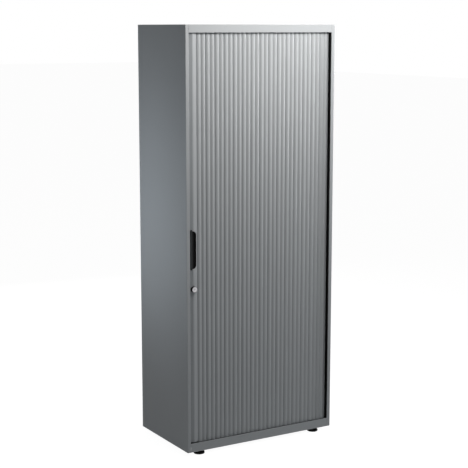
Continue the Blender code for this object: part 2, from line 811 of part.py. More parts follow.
def lock():
    """Collar and barrel, key plug, nut and hooked cam, all on one axis through the lead rail."""
    seat = CREST_DEPTH - GAP
    spot = (LOCK_X, seat, LOCK_LEVEL)
    bore = PLUG_RADIUS + GAP
    head = BEZEL_RADIUS - BEZEL_RIM
    barrel_end = RAIL_BACK + GAP + NUT_THICKNESS - seat
    housing = (
        (head + GAP, BEZEL_THICKNESS),
        (BEZEL_RADIUS - BEZEL_ROUND, BEZEL_THICKNESS),
        (BEZEL_RADIUS, BEZEL_THICKNESS - BEZEL_ROUND),
        (BEZEL_RADIUS, -BEZEL_SEAT),
        (BARREL_RADIUS, -BEZEL_SEAT),
        (BARREL_RADIUS, -barrel_end),
        (bore, -barrel_end),
        (bore, BEZEL_THICKNESS - PLUG_HEAD - GAP),
        (head + GAP, BEZEL_THICKNESS - PLUG_HEAD - GAP),
    )
    add_part(turned("lock_housing", housing, spot, "y", ROUND_STEPS, closed=True), BLACK_PLASTIC)
    cam_near = barrel_end + GAP
    plug_end = cam_near + CAM_THICKNESS + CAM_THICKNESS / 2
    face = BEZEL_THICKNESS + PLUG_PROUD
    plug = (
        (0, face),
        (head - PLUG_PROUD, face),
        (head, face - PLUG_PROUD),
        (head, BEZEL_THICKNESS - PLUG_HEAD),
        (PLUG_RADIUS, BEZEL_THICKNESS - PLUG_HEAD),
        (PLUG_RADIUS, -plug_end),
        (0, -plug_end),
    )
    cylinder = turned("lock_cylinder", plug, spot, "y", ROUND_STEPS)
    slot = box(
        "key_slot",
        (LOCK_X - KEY_SLOT_WIDTH / 2, seat - face - OVERRUN, LOCK_LEVEL - KEY_SLOT_HEIGHT / 2),
        (LOCK_X + KEY_SLOT_WIDTH / 2, seat - face + KEY_SLOT_DEPTH, LOCK_LEVEL + KEY_SLOT_HEIGHT / 2),
    )
    add_part(cut(cylinder, slot), ZINC)
    nut_near = RAIL_BACK + GAP
    hexagon = circle(LOCK_X, LOCK_LEVEL, NUT_RADIUS, NUT_SIDES)
    thread = circle(LOCK_X, LOCK_LEVEL, BARREL_RADIUS + GAP, ROUND_STEPS)
    add_part(prism("lock_nut", [hexagon, thread], nut_near, nut_near + NUT_THICKNESS, "y"), ZINC)
    hook = [
        (LOCK_X + CAM_OVER, LOCK_LEVEL),
        (LOCK_X + CAM_OVER, LOCK_LEVEL + CAM_LENGTH),
        (LOCK_X - CAM_CLAW_DROP, LOCK_LEVEL + CAM_LENGTH),
        (LOCK_X - CAM_CLAW_DROP, LOCK_LEVEL + CAM_LENGTH - CAM_CLAW),
        (LOCK_X - CAM_UNDER, LOCK_LEVEL + CAM_LENGTH - CAM_CLAW),
        (LOCK_X - CAM_UNDER, LOCK_LEVEL),
    ]
    near = seat + cam_near
    hub = circle(LOCK_X, LOCK_LEVEL, CAM_HUB, ROUND_STEPS)
    cam = prism("lock_cam", [hub], near, near + CAM_THICKNESS, "y")
    join(cam, prism("cam_hook", [hook], near, near + CAM_THICKNESS, "y"))
    bore_outline = circle(LOCK_X, LOCK_LEVEL, bore, ROUND_STEPS)
    cut(cam, prism("cam_bore", [bore_outline], near - OVERRUN, near + OVERRUN, "y"))
    add_part(cam, ZINC)


def circle(x, z, radius, sides):
    turns = [2 * math.pi * step / sides for step in range(sides)]
    return [(x + radius * math.cos(turn), z + radius * math.sin(turn)) for turn in turns]


def lock_keep():
    """Plate behind the left return with a tab that the cam hooks round from above."""
    right = LEFT_STILE - SHEET - GAP
    left = right - KEEP_THICKNESS
    tab_top = LOCK_LEVEL - CAM_UNDER - KEEP_CLEARANCE
    tab_low = LOCK_LEVEL - CAM_CLAW_DROP
    seat = CREST_DEPTH - GAP
    tab_end = RAIL_BACK + GAP + NUT_THICKNESS + GAP + CAM_THICKNESS + KEEP_REACH
    plate_back = LEFT_RETURN - SHEET
    outline = (
        (seat / 2, LOCK_LEVEL - KEEP_PLATE / 2),
        (plate_back, LOCK_LEVEL - KEEP_PLATE / 2),
        (plate_back, tab_low),
        (tab_end, tab_low),
        (tab_end, tab_top),
        (plate_back, tab_top),
        (plate_back, LOCK_LEVEL + KEEP_PLATE / 2),
        (seat / 2, LOCK_LEVEL + KEEP_PLATE / 2),
    )
    return add_part(prism("lock_keep", [outline], left, right, "x"), ZINC)


def glide(name, groove_end, track_end, rail_end):
    """A runner in a track groove, a flange between track and rail, and a plug in the rail's cavity."""
    up = 1 if rail_end > track_end else -1
    cavity = offset_line(rail_front(), -RAIL_WALL)
    plug_front = max(line_at(cavity, GLIDE_LEFT), line_at(cavity, GLIDE_RIGHT)) + GAP
    plug_back = RAIL_BACK - RAIL_WALL - GAP
    flange_near = track_end + up * GAP
    flange_far = rail_end - up * GAP
    pieces = []
    for piece, front, back, ends in (
        (name, GROOVE_FRONT + GLIDE_SIDE_GAP, GROOVE_BACK - GLIDE_SIDE_GAP, (groove_end, flange_far)),
        (name + "_flange", GROOVE_FRONT + GLIDE_SIDE_GAP, plug_back, (flange_near, flange_far)),
        (name + "_plug", plug_front, plug_back, (flange_near, rail_end + up * GLIDE_PLUG)),
    ):
        pieces.append(box(piece, (GLIDE_LEFT, front, min(ends)), (GLIDE_RIGHT, back, max(ends))))
    for other in pieces[1:]:
        join(pieces[0], other)
    return add_part(pieces[0], BLACK_PLASTIC)


def glides():
    glide("glide_bottom", SLAT_LOW, LOW_TRACK + TRACK_DEPTH, RAIL_LOW)
    glide("glide_top", SLAT_HIGH, HIGH_TRACK - TRACK_DEPTH, RAIL_HIGH)


def slot_levels():
    count = int((HIGH_TRACK - SLOT_TOP_MARGIN - SLOT_FIRST) / SLOT_PITCH) + 1
    return [SLOT_FIRST + number * SLOT_PITCH for number in range(count)]


def slot_cutter(name, x, y):
    """A ladder of blocks, one for each slot of an upright."""
    mesh = bpy.data.meshes.new(name)
    shape = bmesh.new()
    size = Vector((UPRIGHT_FLANGE, SLOT_WIDTH, SLOT_HEIGHT))
    for level in slot_levels():
        made = bmesh.ops.create_cube(shape, size=1)["verts"]
        bmesh.ops.scale(shape, vec=size, verts=made)
        bmesh.ops.translate(shape, vec=(0, 0, level), verts=made)
    shape.to_mesh(mesh)
    shape.free()
    cutter = bpy.data.objects.new(name, mesh)
    cutter.location = CORNER + Vector((x, y, 0))
    return cutter


def upright(name, web, wall, y):
    """A channel whose web carries the slots and whose flanges meet the wall beside it."""
    half = SHEET / 2
    inward = half if web > wall else -half
    fold_line = (
        (wall, y + half),
        (web - inward, y + half),
        (web - inward, y + UPRIGHT_WEB - half),
        (wall, y + UPRIGHT_WEB - half),
    )
    channel = folded_sheet(name, fold_line, LOW_TRACK, HIGH_TRACK, "z")
    cut(channel, slot_cutter(name + "_slots", web, y + UPRIGHT_WEB / 2))
    return add_part(channel, ZINC)


def uprights():
    left_wall = SHEET + GAP
    right_wall = LINER_X - SHEET - GAP
    for place, y in (("front", FRONT_UPRIGHT), ("rear", REAR_UPRIGHT)):
        upright(f"upright_{place}_left", LEFT_WEB, left_wall, y)
        upright(f"upright_{place}_right", RIGHT_WEB, right_wall, y)


def bracket(name, web, side, level):
    """An angle under the edge of a shelf, hooked into a slot of both uprights on its side."""
    half = BRACKET_SHEET / 2
    wall = web + side * (GAP + half)
    fold_line = (
        (wall, level + BRACKET_HEIGHT),
        (wall, level + half),
        (wall + side * BRACKET_LEDGE, level + half),
    )
    low = FRONT_UPRIGHT + BRACKET_SETBACK
    high = REAR_UPRIGHT + UPRIGHT_WEB - BRACKET_SETBACK
    angle = folded_sheet(name, fold_line, low, high, "y", BRACKET_SHEET)
    for place, y in (("front", FRONT_UPRIGHT), ("rear", REAR_UPRIGHT)):
        middle = y + UPRIGHT_WEB / 2
        ends = sorted((wall, web - side * HOOK_REACH))
        slot = level + BRACKET_HEIGHT / 2
        hook = box(
            f"{name}_hook_{place}",
            (ends[0], middle - HOOK_WIDTH / 2, slot - HOOK_HEIGHT / 2),
            (ends[1], middle + HOOK_WIDTH / 2, slot + HOOK_HEIGHT / 2),
        )
        join(angle, hook)
    return add_part(angle, ZINC)


def shelf(name, level):
    """A pan folded down on all four sides, with a return lip round its underside."""
    half = SHEET / 2
    left = LEFT_WEB + GAP + BRACKET_SHEET + GAP + half
    right = RIGHT_WEB - GAP - BRACKET_SHEET - GAP - half
    low = Vector((left, SHELF_FRONT + half, level + half))
    high = Vector((right, SHELF_BACK - half, level + SHELF_FOLD - half))
    mesh = bpy.data.meshes.new(name)
    shape = bmesh.new()
    bmesh.ops.create_cube(shape, size=1)
    bmesh.ops.scale(shape, vec=high - low, verts=shape.verts)
    under = [face for face in shape.faces if face.normal.z < 0]
    bmesh.ops.delete(shape, geom=under, context="FACES_ONLY")
    rim = [edge for edge in shape.edges if edge.is_boundary]
    drawn = bmesh.ops.extrude_edge_only(shape, edges=rim)["geom"]
    for corner in (item for item in drawn if isinstance(item, bmesh.types.BMVert)):
        corner.co.x -= math.copysign(SHELF_RETURN, corner.co.x)
        corner.co.y -= math.copysign(SHELF_RETURN, corner.co.y)
    bmesh.ops.recalc_face_normals(shape, faces=shape.faces)
    shape.to_mesh(mesh)
    shape.free()
    pan = bpy.data.objects.new(name, mesh)
    pan.location = CORNER + (low + high) / 2
    wall = pan.modifiers.new("Sheet", "SOLIDIFY")
    wall.thickness = SHEET
    wall.offset = 0
    wall.use_even_offset = True
    return add_part(pan, SILVER)


def shelves():
    levels = slot_levels()
    for number, slot in enumerate(SHELF_SLOT_NUMBERS, 1):
        level = levels[slot] - BRACKET_HEIGHT / 2
        bracket(f"bracket_{number}_left", LEFT_WEB, 1, level)
        bracket(f"bracket_{number}_right", RIGHT_WEB, -1, level)
        shelf(f"shelf_{number}", level + BRACKET_SHEET + GAP)


def feet():
    """Levelling feet: a disc on a threaded stem, each in a bush under the floor."""
    disc = (
        (0, STEM_TOP),
        (STEM_RADIUS, STEM_TOP),
        (STEM_RADIUS, FOOT_HEIGHT),
        (FOOT_NECK_RADIUS, FOOT_HEIGHT),
        (FOOT_NECK_RADIUS, FOOT_CONE),
        (FOOT_RADIUS - FOOT_CHAMFER, FOOT_EDGE),
        (FOOT_RADIUS, FOOT_EDGE - FOOT_CHAMFER),
        (FOOT_RADIUS, 0),
        (0, 0),
    )
    bush_top = FLOOR_LEVEL - SHEET - GAP
    bush = (
        (BUSH_RADIUS, bush_top),
        (BUSH_RADIUS, bush_top - BUSH_LENGTH),
        (STEM_RADIUS + GAP, bush_top - BUSH_LENGTH),
        (STEM_RADIUS + GAP, bush_top),
    )
    for across, x in (("left", FOOT_INSET_X), ("right", WIDTH - FOOT_INSET_X)):
        for place, y in (("front", FOOT_INSET_Y), ("rear", DEPTH - FOOT_INSET_Y)):
            spot = (x, y, 0)
            add_part(turned(f"foot_{place}_{across}", disc, spot, "z", FOOT_STEPS), BLACK_PLASTIC)
            add_part(turned(f"foot_bush_{place}_{across}", bush, spot, "z", FOOT_STEPS, closed=True), ZINC)


def hold(name, spot, children):
    """An empty on a joint's axis, which carries the pieces that move with it."""
    empty = bpy.data.objects.new(name, None)
    empty.location = CORNER + Vector(spot)
    PARTS.objects.link(empty)
    bpy.context.view_layer.update()
    for child in children:
        piece = bpy.data.objects[child]
        place = piece.matrix_world.copy()
        piece.parent = empty
        piece.matrix_parent_inverse = empty.matrix_world.inverted()
        piece.matrix_world = place
    return empty


clear_scene()
PARTS = new_collection("Tambour door cabinet")
CUTTERS = new_collection("Cutters")
side_panel_left()
side_panel_right()
top_panel()
base_panel()
back_panel()
tracks()
liners()
edge_strip()
closing_buffer()
slats()
lead_rail()
handle_cup()
lock()
lock_keep()
glides()
uprights()
shelves()
feet()
hold(
    "door_carriage",
    (GLIDE_LEFT, GROOVE_FRONT, SLAT_LOW),
    ("lead_rail", "handle_cup", "lock_housing", "lock_nut", "glide_bottom", "glide_top"),
)
hold("lock_axis", (LOCK_X, CREST_DEPTH, LOCK_LEVEL), ("lock_cylinder", "lock_cam"))
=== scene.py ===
import json
import math

import bmesh
import bpy
from mathutils import Matrix, Vector

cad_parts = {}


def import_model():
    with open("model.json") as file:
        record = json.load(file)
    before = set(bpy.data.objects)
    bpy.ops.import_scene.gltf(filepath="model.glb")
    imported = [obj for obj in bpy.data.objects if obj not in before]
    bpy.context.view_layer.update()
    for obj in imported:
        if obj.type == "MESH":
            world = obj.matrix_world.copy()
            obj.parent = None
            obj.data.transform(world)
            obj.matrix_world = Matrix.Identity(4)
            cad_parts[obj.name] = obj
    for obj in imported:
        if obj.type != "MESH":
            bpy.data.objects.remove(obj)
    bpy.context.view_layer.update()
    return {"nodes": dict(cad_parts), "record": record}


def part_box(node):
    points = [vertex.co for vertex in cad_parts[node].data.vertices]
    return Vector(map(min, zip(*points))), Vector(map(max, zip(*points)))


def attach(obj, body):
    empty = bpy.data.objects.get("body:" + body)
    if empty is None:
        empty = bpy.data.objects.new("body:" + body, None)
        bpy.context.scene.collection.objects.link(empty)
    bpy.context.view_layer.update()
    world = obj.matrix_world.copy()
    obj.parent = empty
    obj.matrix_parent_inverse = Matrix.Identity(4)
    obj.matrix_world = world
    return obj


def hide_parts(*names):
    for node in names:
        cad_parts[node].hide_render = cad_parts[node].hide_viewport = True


# Row frame: metres, +Z up, the front faces -Y, origin on the floor under the body.
LEFT = -0.400
FRONT = -0.233
CAMERA_SPOT = (-3.036, -5.070, 1.9676)
CAMERA_PITCH = 80.556
CAMERA_YAW = -30.806
CAMERA_LENS = 95.48
SENSOR = 36.0

# Slats: the ribbed section of the curtain
SLATS = 15
PITCH = (0.800 - 0.0042 - 0.0614) * 2 / 31
RIB_PITCH = PITCH / 2
CURTAIN_LEFT = 0.0614
CREST = 0.0120
RIB_DEPTH = 0.0042
JOINT_DEPTH = 0.0014
JOINT_REACH = 0.0040
VALLEY_SOFTNESS = 0.07
JOINT_FACE = CREST + RIB_DEPTH + JOINT_DEPTH
CURTAIN_BACK = 0.0190
SLAT_GAP = 0.0006
SLAT_WALL = 0.0014
LIP_WALL = 0.0006
LIP_WIDTH = 0.0033
TONGUE_WALL = 0.0007
TONGUE_NECK = 0.0012
TONGUE_REACH = 0.0028
RIB_STEPS = 24

# Lead rail face, as (x, depth) from the nose to the curtain
RAIL_FACE = ((0.0195, 0.0205), (0.038, 0.0102), (0.043, 0.0096), (0.0611, 0.0134))

# Flush handle: a grip strip on the rail's slope beside a D-shaped finger cup
HANDLE_LEVEL = 0.9726
STRIP_LEFT = 0.0262
STRIP_RIGHT = 0.0349
STRIP_HALF = 0.0930
STRIP_ROUND = 0.0050
CUP_LEFT = 0.0345
CUP_RIGHT = 0.0548
CUP_HALF = 0.0860
CUP_ROUND = 0.0180
CUP_TIGHT_ROUND = 0.0020
CUP_FLOOR = 0.0238
CUP_BACK = 0.0254
SCREW_X = 0.0388
SCREW_RISE = 0.0890
SCREW_RADIUS = 0.0025
SCREW_SIDES = 24
SCREW_HEIGHT = 0.0013
SCREW_SLOT = (0.0006, 0.0030)
SCREW_SLOT_FLOOR = 0.0006
# (share of the radius, rise over the rail's face)
SCREW_HEAD = ((0.8, -0.0010), (1, 0), (1, 0.0006), (0.86, 0.0011), (0.6, SCREW_HEIGHT))
# Rings of the strip and of the cup's rim, as (margin inwards, rise over the rail's face)
STRIP_RINGS = ((0, 0.0002), (0, 0.0010), (0.0003, 0.0014), (0.0009, 0.0017), (0.0020, 0.0018))
CUP_RIM = (
    (0, 0),
    (-0.0009, -0.0002),
    (-0.0009, 0.0006),
    (-0.0004, 0.0010),
    (0.0003, 0.0010),
    (0.0009, 0.0004),
)
# Rings outside and inside the cup, as (margin inwards, depth)
CUP_OUTSIDE = ((0.0040, CUP_BACK), (0.0002, CUP_BACK - 0.0030))
CUP_INSIDE = ((0.0012, 0.0150), (0.0016, 0.0215), (0.0024, 0.0231), (0.0042, CUP_FLOOR))
STRIP_TIGHT_ROUND = 0.0006

# Lock: a black collar round a nickel disc with a key slot
LOCK_X = 0.0415
LOCK_LEVEL = 0.7912
LOCK_FACE = 0.0003
LOCK_SIDES = 64
KEY_SLOT = (0.0017, 0.0074)
KEY_SLOT_MOUTH = 0.0006
KEY_SLOT_FLOOR = 0.0063
# Profiles about the lock's axis, as (radius, depth)
COLLAR_PROFILE = (
    (0.0133, 0.0011),
    (0.01345, 0.0009),
    (0.0137, 0.0008),
    (0.0140, 0.0011),
    (0.0140, 0.0193),
    (0.0085, 0.0193),
    (0.0085, 0.0328),
    (0.0053, 0.0328),
    (0.0053, 0.0023),
    (0.0133, 0.0023),
)
DISC_PROFILE = (
    (0.0050, 0.0361),
    (0.0050, 0.0019),
    (0.0129, 0.0019),
    (0.0129, 0.0008),
    (0.0127, 0.0005),
    (0.0122, LOCK_FACE),
    (0.0062, LOCK_FACE),
    (0.0058, 0.0006),
)

# Levelling feet
FEET = {
    "foot_front_left": (0.079, 0.036),
    "foot_front_right": (0.721, 0.036),
    "foot_rear_left": (0.079, 0.430),
    "foot_rear_right": (0.721, 0.430),
}
FOOT_SIDES = 48
THREAD_PITCH = 0.0015
THREAD_LOW = 0.0218
THREAD_HIGH = 0.0458
STEM_LOW = THREAD_LOW - 0.0030
STEM_SIDES = 24
THREAD_ROOT = 0.0043
THREAD_CREST = 0.0050
# One turn of thread, as (radius, share of the pitch)
THREAD_TURN = ((THREAD_ROOT, 0), (THREAD_CREST, 0.4), (THREAD_CREST, 0.55))
# Profile of the moulded foot, as (radius, height)
FOOT_PROFILE = (
    (0.0235, 0),
    (0.0252, 0.0004),
    (0.0260, 0.0014),
    (0.0260, 0.0066),
    (0.0254, 0.0077),
    (0.0240, 0.0084),
    (0.0170, 0.0104),
    (0.0118, 0.0122),
    (0.0100, 0.0138),
    (0.0096, 0.0150),
)
# The hexagon on its neck, as (width across flats, height)
FOOT_HEXAGON = ((0.0160, 0.0152), (0.0170, 0.0157), (0.0170, 0.0209), (0.0160, 0.0214))

# Shelves: folded sheet with a return under each side
SHELVES = 4
SHELF_SHEET = 0.001
SHELF_RETURN = 0.012
SHELF_FOLD = 0.0018

# Studio: a floor that looks white and keeps the shadow, a world that looks white
FLOOR_LOW = (-30, -30)
FLOOR_HIGH = (30, 60)
FLOOR_DROP = 0.0004
FLOOR_SHADE = 0.30
FLOOR_GLOW = 0.965
WORLD_LIGHT = 0.035
WARM = (1.0, 0.955, 0.915)
PLAIN = (1.0, 1.0, 1.0)
COOL = (0.93, 0.98, 1.03)
# name: place, aim, size, watts, colour, spread in degrees
LAMPS = {
    "key_top_front": ((0.33, -1.16, 2.50), (0.04, -0.2, 1.7), (1.2, 0.4), 28, WARM, 180),
    "side_right": ((1.60, -0.50, 1.70), (0.30, -0.22, 1.5), (0.3, 0.9), 12.5, PLAIN, 180),
    "low_front": ((0.10, -2.30, 0.35), (0.00, -0.2, 0.30), (1.2, 0.4), 1.6, COOL, 180),
    "low_right": ((1.40, -2.20, 0.45), (0.30, -0.2, 0.40), (0.6, 0.5), 2.2, COOL, 180),
    "fill_left": ((-2.20, 0.60, 1.30), (-0.40, 0.0, 1.10), (0.8, 0.8), 3.0, COOL, 180),
    "glow_left": ((-1.30, 0.30, 0.95), (-0.40, 0.1, 1.25), (0.3, 0.9), 1.2, COOL, 90),
    "back_fill": ((0.60, 3.60, 1.70), (0.0, 0.2, 1.0), (1.6, 1.6), 16, PLAIN, 180),
}

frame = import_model()
nodes = frame["nodes"]
scene = bpy.context.scene


def world(x, y, z):
    return Vector((LEFT + x, FRONT + y, z))


def tree_of(name):
    made = bpy.data.materials.new(name)
    made.use_nodes = True
    tree = made.node_tree
    return made, tree, tree.nodes["Principled BSDF"]


def node(tree, kind, **values):
    made = tree.nodes.new(kind)
    for key, value in values.items():
        if key in made.inputs:
            made.inputs[key].default_value = value
        else:
            setattr(made, key, value)
    return made


def noise(tree, scale, detail=2.0, stretch=(1, 1, 1)):
    place = node(tree, "ShaderNodeTexCoord")
    mapping = node(tree, "ShaderNodeMapping")
    mapping.inputs["Scale"].default_value = stretch
    made = node(tree, "ShaderNodeTexNoise", Scale=scale, Detail=detail)
    tree.links.new(place.outputs["Object"], mapping.inputs["Vector"])
    tree.links.new(mapping.outputs["Vector"], made.inputs["Vector"])
    return made


def spread(tree, source, low, high, start=0.3, end=0.7):
    made = node(tree, "ShaderNodeMapRange")
    made.inputs["From Min"].default_value = start
    made.inputs["From Max"].default_value = end
    made.inputs["To Min"].default_value = low
    made.inputs["To Max"].default_value = high
    tree.links.new(source, made.inputs["Value"])
    return made.outputs["Result"]


def tinted(tree, colour, *factors):
    """The colour times each factor."""
    current = None
    for factor in factors:
        made = node(tree, "ShaderNodeVectorMath", operation="SCALE")
        if current is None:
            made.inputs[0].default_value = colour
        else:
            tree.links.new(current, made.inputs[0])
        tree.links.new(factor, made.inputs["Scale"])
        current = made.outputs[0]
    return current


def bump(tree, shader, height, strength, distance):
    made = node(tree, "ShaderNodeBump", Strength=strength, Distance=distance)
    tree.links.new(height, made.inputs["Height"])
    tree.links.new(made.outputs["Normal"], shader.inputs["Normal"])


def metallic_paint(name, colour, metallic, roughness, specular):
    made, tree, shader = tree_of(name)
    shader.inputs["Specular IOR Level"].default_value = specular
    flake = noise(tree, 1400.0, 1.0)
    cloud = noise(tree, 3.0, 2.0)
    peel = noise(tree, 420.0, 2.0)
    shade = tinted(
        tree,
        colour,
        spread(tree, flake.outputs["Fac"], 0.90, 1.10),
        spread(tree, cloud.outputs["Fac"], 0.985, 1.015),
    )
    tree.links.new(shade, shader.inputs["Base Color"])
    rough = spread(tree, flake.outputs["Fac"], roughness - 0.04, roughness + 0.04)
    tree.links.new(rough, shader.inputs["Roughness"])
    shader.inputs["Metallic"].default_value = metallic
    bump(tree, shader, peel.outputs["Fac"], 0.12, 0.0004)
    made.diffuse_color = (*colour, 1)
    return made


def plastic(name, colour, roughness, specular, grain=900.0):
    made, tree, shader = tree_of(name)
    shader.inputs["Specular IOR Level"].default_value = specular
    fine = noise(tree, grain, 3.0)
    cloud = noise(tree, 12.0, 2.0)
    shade = tinted(
        tree,
        colour,
        spread(tree, fine.outputs["Fac"], 0.88, 1.12),
        spread(tree, cloud.outputs["Fac"], 0.95, 1.05),
    )
    tree.links.new(shade, shader.inputs["Base Color"])
    tree.links.new(
        spread(tree, fine.outputs["Fac"], roughness - 0.06, roughness + 0.06),
        shader.inputs["Roughness"],
    )
    bump(tree, shader, fine.outputs["Fac"], 0.25, 0.0003)
    made.diffuse_color = (*colour, 1)
    return made


def plated(name, colour, roughness, cells):
    """Zinc or nickel plating: faint crystal cells over fine drawn lines."""
    made, tree, shader = tree_of(name)
    place = node(tree, "ShaderNodeTexCoord")
    cell = node(tree, "ShaderNodeTexVoronoi", Scale=cells)
    tree.links.new(place.outputs["Object"], cell.inputs["Vector"])
    lines = noise(tree, 60.0, 3.0, (30, 30, 1))
    split = node(tree, "ShaderNodeSeparateColor")
    tree.links.new(cell.outputs["Color"], split.inputs["Color"])
    shade = tinted(
        tree,
        colour,
        spread(tree, split.outputs["Red"], 0.93, 1.05, 0.0, 1.0),
        spread(tree, lines.outputs["Fac"], 0.95, 1.05),
    )
    tree.links.new(shade, shader.inputs["Base Color"])
    rough = spread(tree, split.outputs["Green"], roughness - 0.05, roughness + 0.07, 0.0, 1.0)
    tree.links.new(rough, shader.inputs["Roughness"])
    shader.inputs["Metallic"].default_value = 1.0
    bump(tree, shader, lines.outputs["Fac"], 0.06, 0.0002)
    made.diffuse_color = (*colour, 1)
    return made


SILVER = metallic_paint("silver_paint", (0.350, 0.374, 0.393), 0.06, 0.50, 0.25)
SLAT_SILVER = metallic_paint("slat_silver", (0.340, 0.363, 0.381), 0.06, 0.46, 0.25)
BLACK = plastic("black_plastic", (0.006, 0.006, 0.0065), 0.62, 0.15)
GRIP = plastic("grip_plastic", (0.020, 0.024, 0.025), 0.50, 0.30)
RUBBER = plastic("rubber", (0.010, 0.010, 0.010), 0.80, 0.10)
ZINC = plated("zinc", (0.55, 0.56, 0.57), 0.34, 90.0)
NICKEL = plated("lock_metal", (0.36, 0.355, 0.362), 0.36, 700.0)
# The edge strip is black plastic, made darker and duller than the other black plastic as painted
# shade of the dark gap beside the curtain.
EDGING_AND_GAP_SHADE = plastic("black_edging_and_gap_shade", (0.0022, 0.0022, 0.0024), 0.80, 0.03)
BY_SLOT = {
    "silver_paint": SILVER,
    "shelf_paint": SILVER,
    "slat_silver": SLAT_SILVER,
    "black_plastic": BLACK,
    "grip_plastic": GRIP,
    "rubber": RUBBER,
    "zinc": ZINC,
    "lock_metal": NICKEL,
}
for part in frame["record"]["subparts"]:
    piece = nodes[part["node"]]
    piece.data.materials.clear()
    piece.data.materials.append(BY_SLOT[part["material_slot"]])
# The edge strip takes the darkened black plastic, which paints the shade of the gap.
nodes["edge_strip"].data.materials[0] = EDGING_AND_GAP_SHADE


def new_object(name, shape, material, smooth=0.6):
    mesh = bpy.data.meshes.new(name)
    shape.to_mesh(mesh)
    shape.free()
    made = bpy.data.objects.new(name, mesh)
    scene.collection.objects.link(made)
    mesh.materials.append(material)
    for face in mesh.polygons:
        face.use_smooth = True
    mesh.set_sharp_from_angle(angle=smooth)
    return made


def slat_face(s):
    """Round ribs whose valley between has a small radius."""
    arch = math.hypot(math.sin(math.pi * s / RIB_PITCH), VALLEY_SOFTNESS) - VALLEY_SOFTNESS
    return CREST + RIB_DEPTH * (1 - arch / (math.hypot(1, VALLEY_SOFTNESS) - VALLEY_SOFTNESS))


def slat_section(ribs):
    """The slat in plan, from its left edge: ribbed face, lip on the left, tongue on the right."""
    width = ribs * RIB_PITCH
    whole = ribs == 2
    edge = SLAT_GAP / 2
    steps = ribs * RIB_STEPS
    face = []
    for step in range(steps + 1):
        s = edge + (width - SLAT_GAP) * step / steps
        dip = JOINT_DEPTH * max(0.0, 1 - s / JOINT_REACH) ** 2
        face.append((s, slat_face(s) + dip))
    tongue_root = width - edge - TONGUE_NECK if whole else width
    back = [(s, y + SLAT_WALL) for s, y in face if LIP_WIDTH < s < tongue_root]
    lip = [(LIP_WIDTH, back[0][1]), (edge, JOINT_FACE + LIP_WALL)]
    tongue = []
    if whole:
        tongue = [
            (width - edge, CURTAIN_BACK - TONGUE_WALL),
            (width + TONGUE_REACH, CURTAIN_BACK - TONGUE_WALL),
            (width + TONGUE_REACH, CURTAIN_BACK),
            (width, CURTAIN_BACK),
        ]
    return face + tongue + back[::-1] + lip


def extrude(outline, low, high, place):
    """A closed outline drawn from low to high; place turns (u, v, w) into a point."""
    shape = bmesh.new()
    ring = [shape.verts.new(place(u, v, low)) for u, v in outline]
    shape.faces.new(ring)
    drawn = bmesh.ops.extrude_face_region(shape, geom=list(shape.faces))["geom"]
    top = [item for item in drawn if isinstance(item, bmesh.types.BMVert)]
    shift = place(0, 0, high) - place(0, 0, low)
    bmesh.ops.translate(shape, verts=top, vec=shift)
    bmesh.ops.recalc_face_normals(shape, faces=shape.faces)
    return shape


def slats():
    for number in range(SLATS + 1):
        name = f"slat_{number + 1:02d}"
        low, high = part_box(name)
        left = CURTAIN_LEFT + number * PITCH
        outline = slat_section(2 if number < SLATS else 1)
        shape = extrude(outline, low.z, high.z, lambda u, v, w: world(left + u, v, w))
        made = new_object(f"ribbed_{name}", shape, SLAT_SILVER)
        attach(made, name)
        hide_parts(name)


def rounded(corners, radii, steps=12):
    """An outline with each corner replaced by an arc of its radius."""
    outline = []
    for index, radius in enumerate(radii):
        here = Vector(corners[index])
        back = (Vector(corners[index - 1]) - here).normalized()
        ahead = (Vector(corners[(index + 1) % len(corners)]) - here).normalized()
        half = back.angle(ahead) / 2
        centre = here + (back + ahead).normalized() * radius / math.sin(half)
        first = here + back * radius / math.tan(half) - centre
        turn = first.angle_signed(here + ahead * radius / math.tan(half) - centre)
        for step in range(steps + 1):
            outline.append(tuple(centre + Matrix.Rotation(-turn * step / steps, 2) @ first))
    return outline


def drawn_in(outline, margin):
    """The outline brought in by a margin on every side of its middle."""
    low = [min(values) for values in zip(*outline)]
    high = [max(values) for values in zip(*outline)]
    middle = [(a + b) / 2 for a, b in zip(low, high)]
    half = [(b - a) / 2 for a, b in zip(low, high)]
    return [
        tuple(m + (p - m) * (h - margin) / h for p, m, h in zip(point, middle, half))
        for point in outline
    ]


def skin(shape, rings, closed=False):
    """Faces between rings of equally many points; a closed skin has no caps."""
    rows = [[shape.verts.new(point) for point in ring] for ring in rings]
    pairs = list(zip(rows, rows[1:]))
    if closed:
        pairs.append((rows[-1], rows[0]))
    for row, after in pairs:
        for index in range(len(row)):
            before = index - 1
            shape.faces.new((row[before], row[index], after[index], after[before]))
    if not closed:
        shape.faces.new(rows[0])
        shape.faces.new(rows[-1])
    bmesh.ops.recalc_face_normals(shape, faces=shape.faces)


def rail_depth(x):
    """Depth of the lead rail's face."""
    for (x0, y0), (x1, y1) in zip(RAIL_FACE, RAIL_FACE[1:]):
        if x0 <= x <= x1:
            return y0 + (y1 - y0) * (x - x0) / (x1 - x0)
    return RAIL_FACE[-1][1]


def dress(made, body, slot, *replaced):
    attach(made, body)
    if replaced:
        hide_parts(*replaced)
    return made


def handle_strip():
    """The dark grip strip, its edges rounded over, on the slope of the lead rail."""
    outline = rounded(
        (
            (STRIP_LEFT, HANDLE_LEVEL - STRIP_HALF),
            (STRIP_RIGHT, HANDLE_LEVEL - STRIP_HALF),
            (STRIP_RIGHT, HANDLE_LEVEL + STRIP_HALF),
            (STRIP_LEFT, HANDLE_LEVEL + STRIP_HALF),
        ),
        (STRIP_ROUND, STRIP_TIGHT_ROUND, STRIP_TIGHT_ROUND, STRIP_ROUND),
    )
    rings = []
    for margin, lift in STRIP_RINGS:
        ring = drawn_in(outline, margin)
        rings.append([world(x, rail_depth(x) - lift, z) for x, z in ring])
    shape = bmesh.new()
    skin(shape, rings)
    dress(new_object("handle_strip", shape, GRIP, 0.9), "door_lead", "grip_plastic", "handle_cup")


